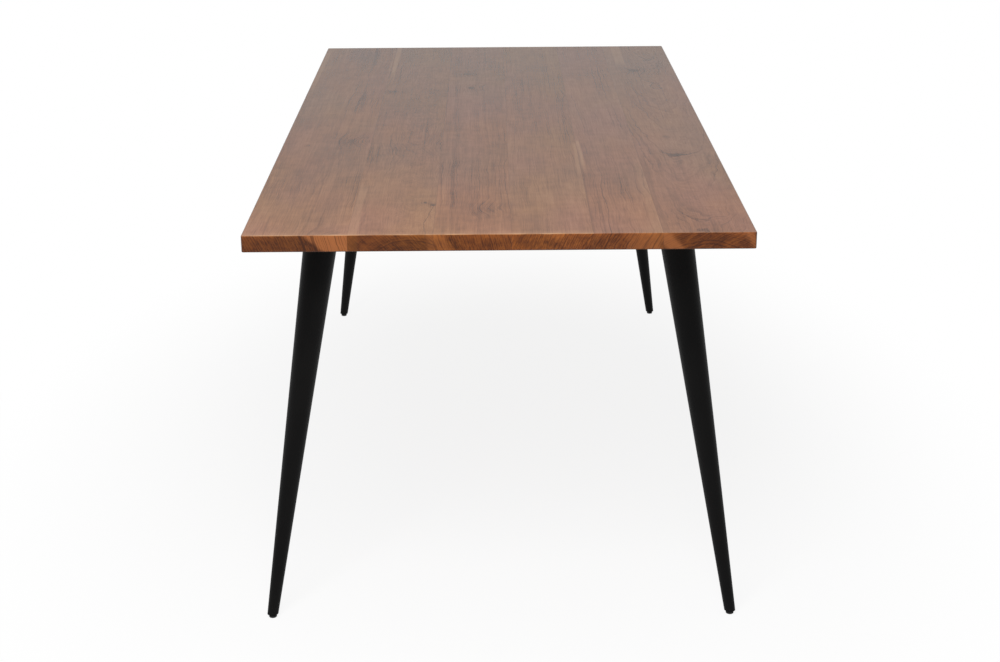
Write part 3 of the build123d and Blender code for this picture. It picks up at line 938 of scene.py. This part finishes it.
def screw_shaft():
    """Pivot head, neck and shank in one turned piece."""
    only()
    bpy.ops.mesh.primitive_cylinder_add(vertices=ROUND_SIDES, radius=PIVOT_RADIUS,
                                        depth=PIVOT_HIGH - PIVOT_LOW,
                                        location=(0.0, 0.0, (PIVOT_LOW + PIVOT_HIGH) / 2))
    shaft = settle("screw_shaft")
    pick_edges(shaft, lambda first, second: abs(first.z - second.z) < TINY)
    bpy.ops.mesh.bevel(offset=PIVOT_EDGE, segments=2, affect="EDGES")
    pivot_top = PIVOT_HIGH - TINY
    pick_faces(shaft, lambda centre, normal: faces_up(centre, normal) and centre.z > pivot_top)
    bpy.ops.mesh.inset(thickness=PIVOT_RADIUS - PIVOT_EDGE - NECK_RADIUS)
    extrude_up(COLLAR_HIGH - PIVOT_HIGH)
    bpy.ops.mesh.inset(thickness=NECK_RADIUS - THREAD_CORE_RADIUS)
    extrude_up(SHANK_TOP - COLLAR_HIGH - SHANK_END)
    extrude_up(SHANK_END)
    bpy.ops.transform.resize(value=(SHANK_END_TAPER, SHANK_END_TAPER, 1.0))
    bpy.ops.object.mode_set(mode="OBJECT")
    return shaft


def screw_collar():
    """Hexagon with softened edges, for a spanner."""
    corner_angle = math.pi / 6
    only()
    bpy.ops.mesh.primitive_cylinder_add(vertices=6, radius=COLLAR_ACROSS_FLATS / 2 / math.cos(corner_angle),
                                        depth=COLLAR_HIGH - COLLAR_LOW, rotation=(0.0, 0.0, corner_angle),
                                        location=(0.0, 0.0, (COLLAR_LOW + COLLAR_HIGH) / 2))
    collar = settle("screw_collar")
    pick_edges(collar, lambda first, second: True)
    bpy.ops.mesh.bevel(offset=COLLAR_EDGE, segments=2, affect="EDGES")
    bpy.ops.object.mode_set(mode="OBJECT")
    return collar


def foot_screw():
    """Shaft, collar and thread together, upright on the origin's axis."""
    shaft = screw_shaft()
    only(screw_collar(), screw_thread(), shaft)
    bpy.ops.object.join()
    bpy.ops.object.shade_smooth_by_angle(angle=SMOOTH_ANGLE)
    return shaft


first_screw = foot_screw()
first_screw.data.materials.append(zinc)
for corner, (side_x, side_y) in CORNERS.items():
    screw = copy_to(first_screw, "levelling_screw_" + corner, (side_x * LEG_FOOT.x, side_y * LEG_FOOT.y, 0.0))
    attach(screw, "screw_" + corner)
    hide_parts("foot_screw_" + corner)
bpy.data.objects.remove(first_screw)


# Foot pads: turned black nylon discs that stand on the floor.
# Each holds the pivot head of its foot screw, which is free to turn in it.
NYLON_DARK = (0.0075, 0.0075, 0.0078)
NYLON_LIGHT = (0.012, 0.012, 0.012)
NYLON_ROUGHNESS = 0.55
NYLON_SHINE = 0.25
FLOOR_DUST = (0.05, 0.048, 0.045)


def nylon(name):
    """Black nylon with a fine grain and some dust at the floor."""
    material, tree, shader = new_material(name)
    place = add_node(tree, "TexCoord").outputs["Object"]
    fine = noise(tree, place, (1600.0, 1600.0, 1600.0), 2)
    dust = fade(tree, noise(tree, place, (300.0, 300.0, 300.0), 3), 0.0, 0.3)
    low = fade(tree, add_node(tree, "SeparateXYZ", place).outputs[2], 2.5 * MM, 0.3 * MM)
    colour = ramp(tree, maths(tree, "ADD", fine, 0.5), (0.3, NYLON_DARK), (0.7, NYLON_LIGHT))
    colour = mix_colour(tree, times(tree, dust, low, 0.5), colour, FLOOR_DUST)
    tree.links.new(colour, shader.inputs["Base Color"])
    tree.links.new(layered(tree, NYLON_ROUGHNESS, (fine, 0.2)), shader.inputs["Roughness"])
    shader.inputs["Specular IOR Level"].default_value = NYLON_SHINE
    add_bump(tree, shader, fine, 0.2, 0.05 * MM)
    return material


pad_nylon = nylon("black_nylon")
for corner in CORNERS:
    dress("foot_pad_" + corner, pad_nylon)


# Floor: a plain white studio floor. It shows white away from the table and keeps the table's soft shadow.
# From below it is clear, so that the underside of the table can be seen.
WHITE = (1.0, 1.0, 1.0, 1.0)
FLOOR_RADIUS = 40.0
FLOOR_GREY = 0.80
SHADOW_SHAPE = (1.0, 0.62, 0.0)
SHADOW_NEAR = 0.45
SHADOW_FAR = 1.25
SHADOW_GLOW = 0.86
only()
bpy.ops.mesh.primitive_circle_add(vertices=96, radius=FLOOR_RADIUS, fill_type="NGON")
floor = bpy.context.object
floor.name = "studio_floor"
material, tree, shader = new_material("white_floor")
shader.inputs["Base Color"].default_value = (FLOOR_GREY, FLOOR_GREY, FLOOR_GREY, 1.0)
shader.inputs["Roughness"].default_value = 1.0
shader.inputs["Specular IOR Level"].default_value = 0.0
rays = add_node(tree, "LightPath").outputs
seen = highest(tree, rays["Is Camera Ray"], rays["Is Glossy Ray"], rays["Is Transmission Ray"])
flat_place = vector(tree, "MULTIPLY", add_node(tree, "TexCoord").outputs["Object"], SHADOW_SHAPE)
reach = fade(tree, measure(tree, "LENGTH", flat_place), SHADOW_NEAR, SHADOW_FAR, SHADOW_GLOW, 1.0)
glow = add_node(tree, "Emission", WHITE, 1.0)
lit_floor = add_node(tree, "MixShader", times(tree, seen, reach), shader.outputs[0], glow.outputs[0])
below = times(tree, add_node(tree, "NewGeometry").outputs["Backfacing"], rays["Is Camera Ray"])
clear_floor = add_node(tree, "BsdfTransparent", WHITE)
blend = add_node(tree, "MixShader", below, lit_floor.outputs[0], clear_floor.outputs[0])
tree.links.new(blend.outputs[0], tree.nodes["Material Output"].inputs["Surface"])
floor.data.materials.append(material)


# Light: one large softbox over the front end of the table, and a pale room all round.
# The lacquer mirrors a room that is bright low down and dim above, and the softbox stays out of it.
ROOM_LIGHT = 0.34
ROOM_BRIGHT = 0.85
ROOM_DIM = 0.15
BRIGHT_UP_TO = 0.16
DIM_FROM = 0.385
SOFTBOX_PLACE = Vector((-0.4, -2.1, 2.3))
SOFTBOX_TARGET = Vector((0.0, -0.7, 0.7))
SOFTBOX_SIZE = 1.4
SOFTBOX_POWER = 56.5
world = bpy.data.worlds.new("pale_room")
bpy.context.scene.world = world
world.use_nodes = True
tree = world.node_tree
rays = add_node(tree, "LightPath").outputs
mirrored = highest(tree, rays["Is Glossy Ray"], rays["Is Transmission Ray"])
height = add_node(tree, "SeparateXYZ", add_node(tree, "TexCoord").outputs["Generated"]).outputs[2]
room_tone = fade(tree, height, BRIGHT_UP_TO, DIM_FROM, ROOM_BRIGHT, ROOM_DIM)
strength = add_node(tree, "Mix", mirrored, None, ROOM_LIGHT, room_tone).outputs[0]
strength = add_node(tree, "Mix", rays["Is Camera Ray"], None, strength, 1.0).outputs[0]
background = tree.nodes["Background"]
background.inputs["Color"].default_value = WHITE
tree.links.new(strength, background.inputs["Strength"])
softbox = bpy.data.lights.new("softbox_front", "AREA")
softbox.shape = "SQUARE"
softbox.size = SOFTBOX_SIZE
softbox.energy = SOFTBOX_POWER
softbox_object = bpy.data.objects.new("softbox_front", softbox)
bpy.context.scene.collection.objects.link(softbox_object)
softbox_object.visible_glossy = False
softbox_object.location = SOFTBOX_PLACE
softbox_object.rotation_euler = (SOFTBOX_TARGET - SOFTBOX_PLACE).to_track_quat("-Z", "Y").to_euler()


# Camera: fitted to the outline of the top and the legs in the photograph.
# It stands in front of the narrow end, above the top, and looks down a little.
CAMERA_PLACE = (-0.0128, -3.8611, 1.6195)
CAMERA_YAW = math.radians(0.258)
CAMERA_PITCH = math.radians(19.406)
CAMERA_ROLL = math.radians(0.363)
FOCAL_PIXELS = 1770.1
IMAGE_WIDTH = 1000
SENSOR_WIDTH = 36.0
camera = bpy.data.cameras.new("camera")
camera.sensor_width = SENSOR_WIDTH
camera.lens = FOCAL_PIXELS / IMAGE_WIDTH * SENSOR_WIDTH
camera_object = bpy.data.objects.new("camera", camera)
bpy.context.scene.collection.objects.link(camera_object)
ahead = Vector((math.sin(CAMERA_YAW), math.cos(CAMERA_YAW), 0.0))
level = Vector((math.cos(CAMERA_YAW), -math.sin(CAMERA_YAW), 0.0))
forward = math.cos(CAMERA_PITCH) * ahead - math.sin(CAMERA_PITCH) * Vector((0.0, 0.0, 1.0))
down = forward.cross(level)
right = math.cos(CAMERA_ROLL) * level + math.sin(CAMERA_ROLL) * down
up = math.sin(CAMERA_ROLL) * level - math.cos(CAMERA_ROLL) * down
camera_turn = Matrix((right, up, -forward)).transposed()
camera_object.matrix_world = Matrix.Translation(CAMERA_PLACE) @ camera_turn.to_4x4()
bpy.context.scene.camera = camera_object
bpy.context.scene.view_settings.view_transform = "Standard"
